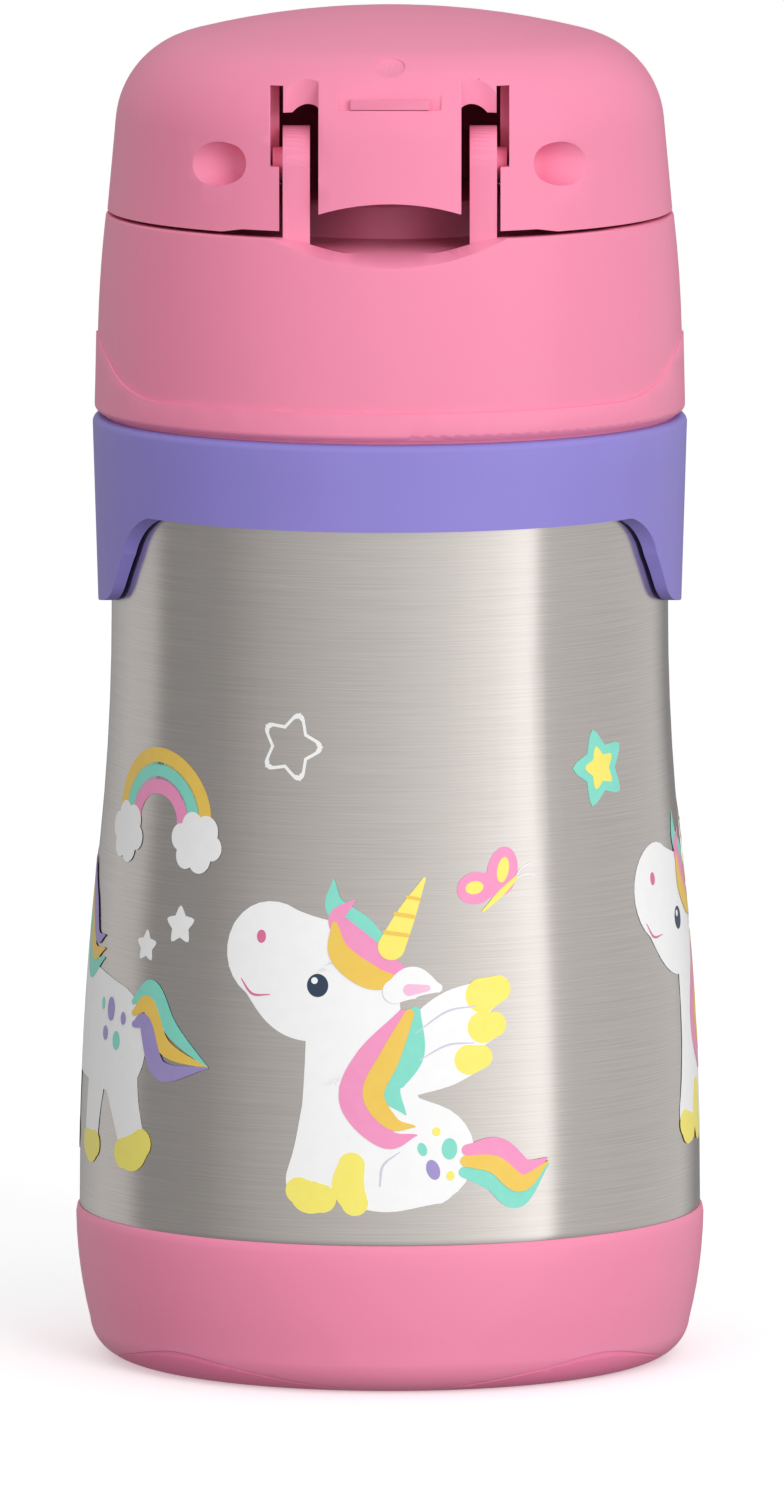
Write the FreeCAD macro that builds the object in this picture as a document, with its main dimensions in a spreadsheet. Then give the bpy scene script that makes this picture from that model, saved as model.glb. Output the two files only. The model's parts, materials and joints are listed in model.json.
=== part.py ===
import FreeCAD, Part
import math
import os
import re
import Sketcher

# A child's insulated straw bottle: steel vacuum body, plastic foot cup, screw lid and flip cap.
# Millimetres, +Z up, origin at the centre of the foot. The cap's hinge is on the -Y side and its
# push button on the +Y side. Pieces are bound to the cells of one sheet.

DIMENSIONS = {
    "reach": 60.0,
    # steel body
    "wall": 0.6,
    "shell_radius": 39.3,
    "shell_floor": 3.0,
    "shell_corner": 4.6,
    "cup_recess": 1.9,
    "recess_edge": 18.2,
    "recess_end": 17.2,
    "taper_angle": 5.86,
    "taper_start": 20.0,
    "taper_bend": 60.0,
    "taper_release": 66.0,
    "taper_end": 95.0,
    "shoulder_start": 113.0,
    "shoulder_round": 4.0,
    "vacuum_gap": 2.6,
    "vessel_floor": 9.0,
    "vessel_corner": 6.0,
    "vessel_bend": 107.0,
    "neck_radius": 28.2,
    "neck_gap": 0.5,
    "neck_fillet": 1.2,
    "neck_top": 133.0,
    "plate_dish": 1.4,
    "plate_dish_radius": 24.0,
    "plug_radius": 2.6,
    "plug_stem": 1.0,
    "getter_radius": 4.0,
    "getter_offset": 14.0,
    # foot
    "cup_top": 19.2,
    "cup_radius": 39.75,
    "cup_low_radius": 38.0,
    "cup_corner": 4.6,
    "pad_thickness": 1.4,
    "cup_floor": 2.6,
    "lobe_offset": 11.2,
    "lobe_radius": 26.7,
    "seam": 0.18,
    "fit": 0.02,
    "cup_rim": 0.4,
    "cup_side_arc": 60.0,
    "glue_inner": 22.0,
    "glue_outer": 31.0,
    # thread
    "pitch": 4.0,
    "thread_turns": 1.25,
    "thread_base": 122.0,
    "thread_depth": 1.0,
    "thread_clearance": 0.5,
    # lid
    "seal_gap": 0.05,
    "seal_thickness": 1.4,
    "sleeve_radius": 30.0,
    "sleeve_wall": 1.4,
    "sleeve_bottom": 119.6,
    "ceiling": 134.5,
    "ceiling_thickness": 1.5,
    "weld_ring_radius": 24.0,
    "vent_x": 10.0,
    "vent_y": 8.0,
    "vent_hole": 1.6,
    "vent_stem": 1.0,
    "vent_head": 3.0,
    "collar_bottom": 120.2,
    "collar_top": 145.2,
    "collar_low_radius": 36.75,
    "collar_top_radius": 35.8,
    "collar_inner": 34.6,
    "skirt_bottom": 110.0,
    "skirt_inner": 35.5,
    "skirt_outer": 36.1,
    "rim_inner": 34.0,
    "deck": 143.4,
    "deck_thickness": 1.6,
    "turret_radius": 16.3,
    "turret_top": 148.0,
    "band_raise": 0.5,
    "band_height": 14.0,
    "band_edge": 3.4,
    "band_knee": 7.1,
    "band_knee_half": 11.3,
    "band_edge_half": 24.0,
    "band_side_arc": 23.6,
    "band_top_arc": 25.0,
    "collar_side_arc": 160.0,
    "air_hole": 0.8,
    "air_hole_y": 9.0,
    "ring_top": 119.7,
    "ring_top_radius": 37.5,
    "ring_low_radius": 36.8,
    "ring_edge": 108.75,
    "lobe_bottom": 96.2,
    "grip_edge_half": 21.5,
    "grip_side_half": 15.6,
    "grip_side_drop": 5.2,
    "grip_corner_half": 12.6,
    "grip_corner_rise": 3.2,
    "grip_low_half": 9.5,
    "grip_root_arc": 10.0,
    "grip_corner_arc": 6.0,
    "grip_low_arc": 45.6,
    # hinge
    "hinge_y": -27.4,
    "hinge_z": 154.0,
    "arm_inner": 9.97,
    "arm_outer": 13.35,
    "arm_radius": 4.8,
    "boss_radius": 2.1,
    "boss_end": 14.6,
    "slot_inner": 8.9,
    "slot_outer": 13.8,
    "slot_end": -29.0,
    "slot_end_round": 3.8,
    "slot_depth": 0.9,
    "well_front": -30.2,
    "well_back": -21.0,
    "well_top": 160.6,
    "rib": 1.5,
    "side_rib": 2.6,
    "rib_end": -22.0,
    "channel_outer": 14.9,
    "channel_top": 163.9,
    "pivot_play": 0.15,
    "hub_radius": 4.7,
    "dimple_radius": 2.75,
    "dimple_end": 19.2,
    "scoop_radius": 92.0,
    "scoop_edge": 141.35,
    "scoop_tilt": 30.0,
    "scoop_length": 14.0,
    "scoop_ahead": 4.0,
    # cap
    "cap_wall": 2.0,
    "cap_rim": 145.65,
    "cap_top": 171.0,
    "crown_radius": 103.0,
    "cap_round": 12.0,
    "cap_round_r": 22.57,
    "cap_draft": 5.32,
    "tab_corner": 148.3,
    "tab_arch": 29.0,
    "liner_radius": 19.0,
    "liner_bottom": 165.4,
    "trim_half": 21.0,
    "trim_step": 18.4,
    "trim_rise": 0.45,
    "grip_half": 6.4,
    "grip_low": 161.2,
    "grip_high": 165.0,
    "grip_front": -36.0,
    "grip_low_y": -32.5,
    "grip_high_y": -30.9,
    "grip_bar_half": 4.9,
    "grip_bar_front": -33.3,
    "grip_bar_back": -31.6,
    "gate_radius": 1.9,
    "gate_y": -28.8,
    "gate_z": 166.15,
    # spout and straw
    "spout_y": -6.0,
    "stem_radius": 6.0,
    "stem_bottom": 131.0,
    "flange_radius": 8.6,
    "ball_radius": 5.0,
    "ball_z": 154.2,
    "spout_length": 15.5,
    "spout_end_radius": 3.6,
    "spout_rest_angle": 20.0,
    "straw_radius": 3.3,
    "straw_wall": 0.7,
    "straw_bottom": 12.5,
    "straw_top": 139.0,
    "seat_play": 0.2,
    "seat_rim": 2.4,
    # push button
    "button_width": 18.0,
    "button_bottom": 129.0,
    "button_top": 140.5,
    "button_face": 37.5,
    "button_play": 0.35,
    "button_travel": 1.8,
    "flange_outer": 34.3,
    "flange_inner": 33.5,
    "hook_width": 8.0,
    "hook_slot_inner": 28.9,
    "hook_slot_outer": 33.3,
    "lug_inner": 33.0,
    "lug_outer": 34.4,
    "lug_top": 4.0,
    "catch_inner": 31.2,
    "catch_outer": 32.8,
    "catch_root": 34.2,
    "pocket_start": 31.4,
    "pocket_depth": 4.6,
    "spring_z": 132.4,
    "spring_radius": 2.1,
    "spring_wire": 0.5,
    "spring_turns": 3.5,
    "spring_length": 4.1,
}

CAP_ROUND_Z = "(cap_top - crown_radius + sqrt((crown_radius - cap_round)^2 - cap_round_r^2))"
CROWN_CENTRE = "(cap_top - crown_radius)"
BODY_TOP_RADIUS = ("(shell_radius - (taper_bend - taper_start) * tan(taper_angle * 0.5)"
                   " - (taper_release - taper_bend) * tan(taper_angle)"
                   " - (taper_end - taper_release) * tan(taper_angle * 0.5))")

document = FreeCAD.newDocument("KidsWaterBottle")
sheet = document.addObject("Spreadsheet::Sheet", "Sizes")
for row, (alias, number) in enumerate(DIMENSIONS.items(), 1):
    sheet.set(f"A{row}", alias)
    sheet.set(f"B{row}", str(number))
    sheet.setAlias(f"B{row}", alias)
document.recompute()
pieces = []


def bound(text):
    """Expression with every dimension's name pointing at its cell; angles in degrees."""
    text = re.sub(r"(sin|cos|tan)\(([^()]*)\)", r"\1((\2) * 1deg)", str(text))
    return re.sub(r"[a-z_]\w*", lambda m: "Sizes." + m[0] if m[0] in DIMENSIONS else m[0], text)


def value(text):
    """Number that an expression gives now."""
    return float(sheet.evalExpression(bound(text)))


def keep(thing, label):
    """Mark an object as a finished piece and name it."""
    thing.Label = label
    pieces.append(thing)
    return thing


def new_body(name):
    """PartDesign body whose result may hold several solids."""
    body = document.addObject("PartDesign::Body", name)
    body.AllowCompound = True
    return body


def outline(body, plane, corners, arcs=None):
    """Closed sketch through corners (u, v); arcs gives side number: radius, positive to bend left."""
    arcs = arcs or {}
    sketch = body.newObject("Sketcher::SketchObject", body.Name + "_outline")
    face = [item for item in body.Origin.OriginFeatures if item.Role == plane][0]
    sketch.AttachmentSupport = [(face, "")]
    sketch.MapMode = "FlatFace"
    points = [FreeCAD.Vector(value(u), value(v), 0) for u, v in corners]
    ends = []
    for side, start in enumerate(points):
        finish = points[(side + 1) % len(points)]
        if side in arcs:
            sketch.addGeometry(arc_between(start, finish, value(arcs[side])), False)
            ends.append((1, 2) if value(arcs[side]) > 0 else (2, 1))
        else:
            sketch.addGeometry(Part.LineSegment(start, finish), False)
            ends.append((1, 2))
    for side, point in enumerate(points):
        following = (side + 1) % len(points)
        sketch.addConstraint(
            Sketcher.Constraint("Coincident", side, ends[side][1], following, ends[following][0]))
        for kind, number, text in (("DistanceX", point.x, corners[side][0]),
                                   ("DistanceY", point.y, corners[side][1])):
            index = sketch.addConstraint(
                Sketcher.Constraint(kind, -1, 1, side, ends[side][0], number))
            sketch.setExpression(f"Constraints[{index}]", bound(text))
        if side in arcs:
            index = sketch.addConstraint(
                Sketcher.Constraint("Radius", side, abs(value(arcs[side]))))
            sketch.setExpression(f"Constraints[{index}]", bound(f"abs({arcs[side]})"))
    return sketch


def arc_between(start, finish, radius):
    """Arc of a circle from start to finish, centre on the left for a positive radius."""
    chord = finish - start
    left = FreeCAD.Vector(-chord.y, chord.x, 0) / chord.Length
    rise = math.sqrt(max(radius ** 2 - chord.Length ** 2 / 4, 0))
    centre = (start + finish) * 0.5 + left * math.copysign(rise, radius)
    first, last = (start, finish) if radius > 0 else (finish, start)
    angles = [math.atan2(end.y - centre.y, end.x - centre.x) for end in (first, last)]
    return Part.ArcOfCircle(Part.Circle(centre, FreeCAD.Vector(0, 0, 1), abs(radius)), *angles)


def revolve(name, corners, arcs=None):
    """Body turned about the Z axis from an outline in (radius, height)."""
    body = new_body(name)
    sketch = outline(body, "XZ_Plane", corners, arcs)
    turned = body.newObject("PartDesign::Revolution", name + "_turned")
    turned.Profile = sketch
    turned.ReferenceAxis = (sketch, ["V_Axis"])
    document.recompute()
    return body


def prism(name, plane, corners, low, high, arcs=None):
    """Body pushed from low to high across its plane: XZ outlines run along Y, YZ along X."""
    body = new_body(name)
    sketch = outline(body, plane, corners, arcs)
    pad = body.newObject("PartDesign::Pad", name + "_pushed")
    pad.Profile = sketch
    pad.SideType = "Symmetric"
    pad.setExpression("Length", bound(f"({high}) - ({low})"))
    across = {"XZ_Plane": "y", "YZ_Plane": "x", "XY_Plane": "z"}[plane]
    body.setExpression("Placement.Base." + across, bound(f"(({high}) + ({low})) / 2"))
    document.recompute()
    return body


def place(thing, x="0", y="0", z="0"):
    """Bind an object's position to expressions."""
    for letter, text in zip("xyz", (x, y, z)):
        thing.setExpression("Placement.Base." + letter, bound(text))
    return thing


def cylinder(name, radius, length, x="0", y="0", z="0", direction=(0, 0, 1)):
    """Cylinder that starts at x, y, z and runs along a direction."""
    rod = document.addObject("Part::Cylinder", name)
    rod.setExpression("Radius", bound(radius))
    rod.setExpression("Height", bound(length))
    turn = FreeCAD.Rotation(FreeCAD.Vector(0, 0, 1), FreeCAD.Vector(*direction))
    rod.Placement = FreeCAD.Placement(FreeCAD.Vector(), turn)
    return place(rod, x, y, z)


def box(name, x, y, z):
    """Box between pairs of expressions along X, Y and Z."""
    block = document.addObject("Part::Box", name)
    for size, (low, high) in zip(("Length", "Width", "Height"), (x, y, z)):
        block.setExpression(size, bound(f"({high}) - ({low})"))
    return place(block, x[0], y[0], z[0])


def sphere(name, radius, x="0", y="0", z="0"):
    """Ball about x, y, z."""
    ball = document.addObject("Part::Sphere", name)
    ball.setExpression("Radius", bound(radius))
    return place(ball, x, y, z)


def fuse(name, shapes):
    """One shape from several."""
    joined = document.addObject("Part::MultiFuse", name)
    joined.Shapes = shapes
    return joined


def cut(name, base, tool):
    """Base with the tool, or the list of tools, taken away."""
    if isinstance(tool, list):
        tool = fuse(name + "_tools", tool)
    result = document.addObject("Part::Cut", name)
    result.Base = base
    result.Tool = tool
    return result


def common(name, base, tool):
    """What base and tool share."""
    result = document.addObject("Part::Common", name)
    result.Base = base
    result.Tool = tool
    return result


def thread(body, name, radius, depth, turns, base):
    """Helical ridge added to a turned body; a negative depth points inwards."""
    half_root = "pitch * 0.2"
    half_tip = "pitch * 0.1"
    sunk = f"({radius}) - 0.1 * ({depth})"
    crest = f"({radius}) + ({depth})"
    corners = [(sunk, f"({base}) - {half_root}"), (crest, f"({base}) - {half_tip}"),
               (crest, f"({base}) + {half_tip}"), (sunk, f"({base}) + {half_root}")]
    sketch = outline(body, "XZ_Plane", corners)
    ridge = body.newObject("PartDesign::AdditiveHelix", name)
    ridge.Profile = sketch
    ridge.ReferenceAxis = (sketch, ["V_Axis"])
    ridge.Mode = 1
    ridge.setExpression("Pitch", bound("pitch"))
    ridge.setExpression("Turns", bound(turns))
    body.Tip = ridge
    document.recompute()


def wall_radius(height, inset="0"):
    """Radius of the tapered steel wall, moved in by an inset, at a named height of the taper."""
    half = "tan(taper_angle * 0.5)"
    bend = f"shell_radius - (taper_bend - taper_start) * {half}"
    release = f"{bend} - (taper_release - taper_bend) * tan(taper_angle)"
    radii = {"start": "shell_radius", "bend": bend, "release": release, "end": BODY_TOP_RADIUS}
    return f"({radii[height]}) - ({inset})"


def taper_side(inset, upwards=True):
    """Corners up the tapered wall: round outwards, straight, then round inwards."""
    names = ["start", "bend", "release", "end"]
    corners = [(wall_radius(name, inset), "taper_" + name) for name in names]
    return corners if upwards else corners[::-1]


LOW_ARC = "(taper_bend - taper_start) / sin(taper_angle)"
HIGH_ARC = "(taper_end - taper_release) / sin(taper_angle)"


def make_outer_shell():
    """Drawn outer wall: foot corner, recess for the cup, taper, shoulder, neck and thread."""
    low = "(shell_radius - cup_recess)"
    foot = f"({low} - shell_corner)"
    shoulder_r = f"({BODY_TOP_RADIUS} - shoulder_round)"
    shoulder_z = "(shoulder_start + shoulder_round)"
    neck_low = f"({shoulder_z} + neck_fillet)"
    lip = "(neck_top - wall)"
    outside = [(foot, "shell_floor"), (low, "shell_floor + shell_corner"),
               (low, "recess_end"), ("shell_radius", "recess_edge")]
    outside += taper_side("0")
    outside += [(BODY_TOP_RADIUS, "shoulder_start"), (shoulder_r, shoulder_z),
                ("neck_radius + neck_fillet", shoulder_z), ("neck_radius", neck_low),
                ("neck_radius", lip)]
    inside = [("neck_radius - wall", lip), ("neck_radius - wall", neck_low),
              ("neck_radius + neck_fillet", f"{shoulder_z} - wall"),
              (shoulder_r, f"{shoulder_z} - wall"), (f"{BODY_TOP_RADIUS} - wall", "shoulder_start")]
    inside += taper_side("wall", upwards=False)
    inside += [("shell_radius - wall", "recess_edge"), (f"{low} - wall", "recess_end"),
               (f"{low} - wall", "shell_floor + shell_corner"), (foot, "shell_floor + wall")]
    arcs = {0: "shell_corner", 4: LOW_ARC, 6: f"-{HIGH_ARC}", 8: "shoulder_round",
            10: "-neck_fillet", 14: "neck_fillet + wall", 16: "-(shoulder_round - wall)",
            18: f"{HIGH_ARC} + wall", 20: f"-({LOW_ARC} - wall)", 24: "-(shell_corner - wall)"}
    shell = revolve("Shell", outside + inside, arcs)
    thread(shell, "Shell_thread", "neck_radius", "thread_depth", "thread_turns", "thread_base")
    keep(shell, "outer_shell")


def make_inner_vessel():
    """Inner wall that follows the outer one, with a shoulder, a neck and a lip rolled outwards."""
    outer = "(wall + vacuum_gap)"
    inner = "(wall * 2 + vacuum_gap)"
    neck = "(neck_radius - wall - neck_gap)"
    round_ = f"({BODY_TOP_RADIUS} - {outer} - {neck})"
    corner_r = f"(shell_radius - {outer} - vessel_corner)"
    bend_z = "vessel_bend"
    outside = [("0", "vessel_floor"), (corner_r, "vessel_floor"),
               (f"shell_radius - {outer}", "vessel_floor + vessel_corner")]
    outside += taper_side(outer)
    outside += [(f"{BODY_TOP_RADIUS} - {outer}", bend_z), (neck, f"{bend_z} + {round_}"),
                (neck, "neck_top - wall"), ("neck_radius", "neck_top - wall"),
                ("neck_radius", "neck_top"), (f"{neck} - wall", "neck_top"),
                (f"{neck} - wall", f"{bend_z} + {round_} - wall"),
                (neck, f"{bend_z} + {round_} - wall"), (f"{BODY_TOP_RADIUS} - {inner}", bend_z)]
    outside += taper_side(inner, upwards=False)
    outside += [(f"shell_radius - {inner}", "vessel_floor + vessel_corner"),
                (corner_r, "vessel_floor + wall"), ("0", "vessel_floor + wall")]
    arcs = {1: "vessel_corner", 3: f"{LOW_ARC} - {outer}", 5: f"-({HIGH_ARC} + {outer})",
            7: round_, 14: f"-({round_} - wall)", 16: f"{HIGH_ARC} + {inner}",
            18: f"-({LOW_ARC} - {inner})", 20: "-(vessel_corner - wall)"}
    keep(revolve("Vessel", outside, arcs), "inner_vessel")


def make_base_closure():
    """Dished plate under the steel body, the plug of its hole, the getter and the glue ring."""
    rim = "(shell_radius - cup_recess - shell_corner)"
    slope = "(plate_dish_radius + plate_dish)"
    hollow = "(shell_floor + plate_dish)"
    keep(revolve("Plate", [
        ("plug_stem", hollow), ("plate_dish_radius", hollow), (slope, "shell_floor"),
        (rim, "shell_floor"), (rim, "shell_floor + wall"), (f"{slope} + 0.3", "shell_floor + wall"),
        ("plate_dish_radius + 0.3", f"{hollow} + wall"), ("plug_stem", f"{hollow} + wall")]),
        "shell_base_plate")
    keep(revolve("Plug", [
        ("0", f"{hollow} - wall"), ("plug_radius", f"{hollow} - wall"), ("plug_radius", hollow),
        ("plug_stem", hollow), ("plug_stem", f"{hollow} + wall"), ("0", f"{hollow} + wall")]),
        "vacuum_plug")
    keep(cylinder("Getter", "getter_radius", "wall * 2", x="getter_offset",
                  z="vessel_floor - wall * 2"), "getter")
    ring = cylinder("Glue_disc", "glue_outer", "shell_floor - cup_floor", z="cup_floor")
    hole = cylinder("Glue_hole", "glue_inner", "shell_floor - cup_floor", z="cup_floor")
    keep(cut("Glue_ring", ring, hole), "base_adhesive_ring")


def make_foot():
    """Plastic cup around the foot, and the non-slip pad whose four round lobes are let into it."""
    foot_r = "(cup_low_radius - cup_corner)"
    inner = "(shell_radius - cup_recess)"
    cup = revolve("Cup", [
        ("0", "0"), (foot_r, "0"), ("cup_low_radius", "cup_corner"), ("cup_radius", "cup_top - 1.2"),
        ("cup_radius - 0.15", "cup_top - 0.3"), ("cup_radius - cup_rim", "cup_top"),
        ("shell_radius + fit", "cup_top"), ("shell_radius + fit", "recess_edge"),
        (f"{inner} + fit", "recess_end"), (f"{inner} + fit", "shell_floor + shell_corner"),
        (f"{inner} - shell_corner + fit", "cup_floor"), ("0", "cup_floor")],
        {1: "cup_corner + 0.5", 2: "cup_side_arc", 9: "-(shell_corner + 0.5)"})
    for name, play in (("Lobe", "seam"), ("Lobe_hole", "0")):
        lobes = []
        for turn in (45, 135, 225, 315):
            angle = math.radians(turn)
            lobes.append(cylinder(f"{name}_{turn}", f"lobe_radius - {play}", "20",
                                  f"lobe_offset * {math.cos(angle):.6f}",
                                  f"lobe_offset * {math.sin(angle):.6f}", "-1"))
        region = common(name + "_region", make_pad_skin(name), fuse(name, lobes))
        if name == "Lobe":
            keep(region, "foot_pad")
        else:
            keep(cut("Cup_shaped", cup, region), "base_cup")


def make_pad_skin(name):
    """Outermost layer of the foot, as thick as the pad."""
    foot_r = "(cup_low_radius - cup_corner)"
    return revolve(name + "_skin", [
        ("0", "0"), (foot_r, "0"), ("cup_low_radius", "cup_corner"),
        ("cup_low_radius + 0.1", "cup_corner + 0.6"), ("cup_low_radius - 0.9", "cup_corner + 0.6"),
        ("cup_low_radius - 1", "cup_corner"), (foot_r, "pad_thickness"), ("0", "pad_thickness")],
        {1: "cup_corner + 0.5", 5: "-cup_corner"})


def make_insert_and_seal():
    """Sleeve with the lid's thread, its ceiling and spout socket, and the silicone ring."""
    seal_low = "neck_top + seal_gap"
    seal_top = "(ceiling - seal_gap)"
    keep(revolve("Seal", [
        ("neck_radius - 2.2", seal_low), ("sleeve_radius - seal_gap * 2", seal_low),
        ("sleeve_radius - seal_gap * 2", seal_top), ("neck_radius - 2.2", seal_top)]), "lid_seal")
    outer = "(sleeve_radius + sleeve_wall)"
    floor = "(ceiling + ceiling_thickness)"
    under = "(deck - deck_thickness)"
    sleeve = revolve("Insert", [
        ("0", "ceiling"), ("sleeve_radius", "ceiling"), ("sleeve_radius", "sleeve_bottom"),
        (outer, "sleeve_bottom"), (outer, floor), ("weld_ring_radius + sleeve_wall", floor),
        ("weld_ring_radius + sleeve_wall", under), ("weld_ring_radius", under),
        ("weld_ring_radius", floor), ("0", floor)])
    thread(sleeve, "Insert_thread", "sleeve_radius",
           "-(sleeve_radius - neck_radius - thread_clearance)", "thread_turns",
           "thread_base + pitch / 2")
    socket = cylinder("Socket", "stem_radius + sleeve_wall", f"turret_top - 1.6 - {floor} + 0.5",
                      y="spout_y", z=f"{floor} - 0.5")
    bore = cylinder("Socket_bore", "stem_radius", "30", y="spout_y", z="ceiling - 8")
    vent = cylinder("Vent_bore", "vent_hole", "8", x="vent_x", y="vent_y", z="ceiling - 2")
    keep(cut("Insert_bored", fuse("Insert_socket", [sleeve, socket]), [bore, vent]),
         "threaded_insert")
    keep(revolve_at("Vent", [
        ("0", "ceiling - 2"), ("vent_stem", "ceiling - 2"), ("vent_hole + 0.5", "ceiling - 0.4"),
        ("vent_hole + 0.5", "ceiling"), ("vent_hole", "ceiling"), ("vent_hole", floor),
        ("vent_head", floor), ("vent_head - 0.6", f"{floor} + 0.8"), ("0", f"{floor} + 0.8")],
        "vent_x", "vent_y"), "vent_valve")


def revolve_at(name, corners, x, y):
    """Turned body whose axis stands at x, y."""
    return place(revolve(name, corners), x, y)


def make_collar():
    """Pink lid base: wall, skirt, deck, turret, scoop, raised bands, hinge arms and windows."""
    under = "(deck - deck_thickness)"
    turret_in = "(turret_radius - 1.6)"
    form = revolve("Collar", [
        ("skirt_inner", "skirt_bottom"), ("skirt_outer", "skirt_bottom"),
        ("skirt_outer", "collar_bottom"), ("collar_low_radius", "collar_bottom"),
        ("collar_top_radius", "collar_top - 0.4"), ("collar_top_radius - 0.4", "collar_top"),
        ("rim_inner", "collar_top"), ("rim_inner", "deck"), ("turret_radius", "deck"),
        ("turret_radius", "turret_top - 0.8"), ("turret_radius - 0.8", "turret_top"),
        ("0", "turret_top"), ("0", "turret_top - 1.6"), (turret_in, "turret_top - 1.6"),
        (turret_in, under), ("collar_inner", under), ("collar_inner", "shoulder_start + 4"),
        ("skirt_inner", "shoulder_start + 3")],
        {3: "collar_side_arc", 4: "0.4", 9: "0.8"})
    ring = revolve("Band_ring", [
        ("collar_low_radius - 1", "collar_bottom"),
        ("collar_low_radius + band_raise - 0.8", "collar_bottom"),
        ("collar_low_radius + band_raise", "collar_bottom + 0.8"),
        ("collar_top_radius + band_raise + 0.65", "collar_bottom + band_height"),
        ("collar_low_radius - 1", "collar_bottom + band_height")], {1: "0.8"})
    low = "(collar_bottom - 1)"
    edge = "(collar_bottom + band_edge)"
    knee = "(collar_bottom + band_knee)"
    bell = prism("Band_bell", "YZ_Plane", [
        ("-reach", low), ("reach", low), ("reach", edge), ("band_edge_half", edge),
        ("band_knee_half", knee), ("-band_knee_half", knee), ("-band_edge_half", edge),
        ("-reach", edge)], "-reach", "reach",
        {3: "-band_side_arc", 4: "band_top_arc", 5: "-band_side_arc"})
    arms = [make_arm(side) for side in (-1, 1)]
    solid = fuse("Collar_solid", [form, common("Band", ring, bell)])
    tools = [
        make_scoop_tool(),
        cylinder("Spout_hole", "stem_radius", "12", y="spout_y", z="turret_top - 6"),
        cylinder("Air_bore", "air_hole", "6", y="air_hole_y", z="turret_top - 4"),
        box("Hook_slot", ("-hook_width / 2 - 0.5", "hook_width / 2 + 0.5"),
            ("hook_slot_inner", "hook_slot_outer"), (f"{under} - 1", "collar_top + 5")),
        prism("Button_window", "XZ_Plane", rounded("button_width / 2 + button_play",
              "button_bottom - button_play", "button_top + button_play", "2.4"),
              "20", "45", rounded_arcs("2.4"))]
    shaped = cut("Collar_cut", solid, tools)
    keep(fuse("Collar_armed", [shaped] + arms), "lid_collar")


def make_scoop_tool():
    """Large cylinder, tilted up towards the hinge, that hollows the rim behind the cap."""
    tilt = math.radians(value("scoop_tilt"))
    return cylinder("Scoop", "scoop_radius", "scoop_length",
                    y="-(collar_low_radius + scoop_ahead) - scoop_radius * sin(scoop_tilt)",
                    z=("scoop_edge - scoop_ahead * tan(scoop_tilt)"
                       " + scoop_radius * cos(scoop_tilt)"),
                    direction=(0, math.cos(tilt), math.sin(tilt)))


def rounded(half, low, high, round_):
    """Corners of a rounded rectangle, half wide each way."""
    return [(f"-({half}) + {round_}", low), (f"{half} - {round_}", low),
            (half, f"{low} + {round_}"), (half, f"{high} - {round_}"),
            (f"{half} - {round_}", high), (f"-({half}) + {round_}", high),
            (f"-({half})", f"{high} - {round_}"), (f"-({half})", f"{low} + {round_}")]


def rounded_arcs(round_):
    """Arcs of the four corners of a rounded rectangle."""
    return {1: round_, 3: round_, 5: round_, 7: round_}


def make_arm(side):
    """Upright hinge arm with a full-round head and the pivot boss on its outer face."""
    front = "(hinge_y - arm_radius)"
    back = "(hinge_y + arm_radius)"
    low, high = ("arm_inner", "arm_outer") if side > 0 else ("-arm_outer", "-arm_inner")
    plate = prism(f"Arm_{side + 1}", "YZ_Plane", [
        (f"{front} - 0.7", "deck - 0.6"), (f"{back} + 0.7", "deck - 0.6"), (back, "deck + 1"),
        (back, "hinge_z"), (front, "hinge_z"), (front, "deck + 1")], low, high,
        {1: "-3", 3: "arm_radius", 5: "-3"})
    boss = cylinder(f"Boss_{side + 1}", "boss_radius", "boss_end - arm_outer + 0.5",
                    x=f"{side} * (arm_outer - 0.5)", y="hinge_y", z="hinge_z",
                    direction=(side, 0, 0))
    return fuse(f"Arm_with_boss_{side + 1}", [plate, boss])


def make_grip_ring():
    """Soft purple ring whose lobes hang down on the left and right."""
    ring = revolve("Grip", [
        ("skirt_inner", "lobe_bottom - 1"), ("ring_low_radius", "lobe_bottom - 1"),
        ("ring_top_radius", "ring_top - 1"), ("ring_top_radius - 1", "ring_top"),
        ("skirt_outer", "ring_top"), ("skirt_outer", "skirt_bottom"),
        ("skirt_inner", "skirt_bottom")], {2: "1"})
    top = "(ring_top + 1)"
    side = "(ring_edge - grip_side_drop)"
    corner = "(lobe_bottom + grip_corner_rise)"
    low = "(lobe_bottom + 1)"
    lobes = prism("Grip_shape", "YZ_Plane", [
        ("-reach", top), ("-reach", "ring_edge"), ("-grip_edge_half", "ring_edge"),
        ("-grip_side_half", side), ("-grip_corner_half", corner), ("-grip_low_half", low),
        ("grip_low_half", low), ("grip_corner_half", corner), ("grip_side_half", side),
        ("grip_edge_half", "ring_edge"), ("reach", "ring_edge"), ("reach", top)],
        "-reach", "reach",
        {2: "-grip_root_arc", 4: "grip_corner_arc", 5: "grip_low_arc", 6: "grip_corner_arc",
         8: "-grip_root_arc"})
    keep(common("Grip_cut", ring, lobes), "grip_ring")


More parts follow.
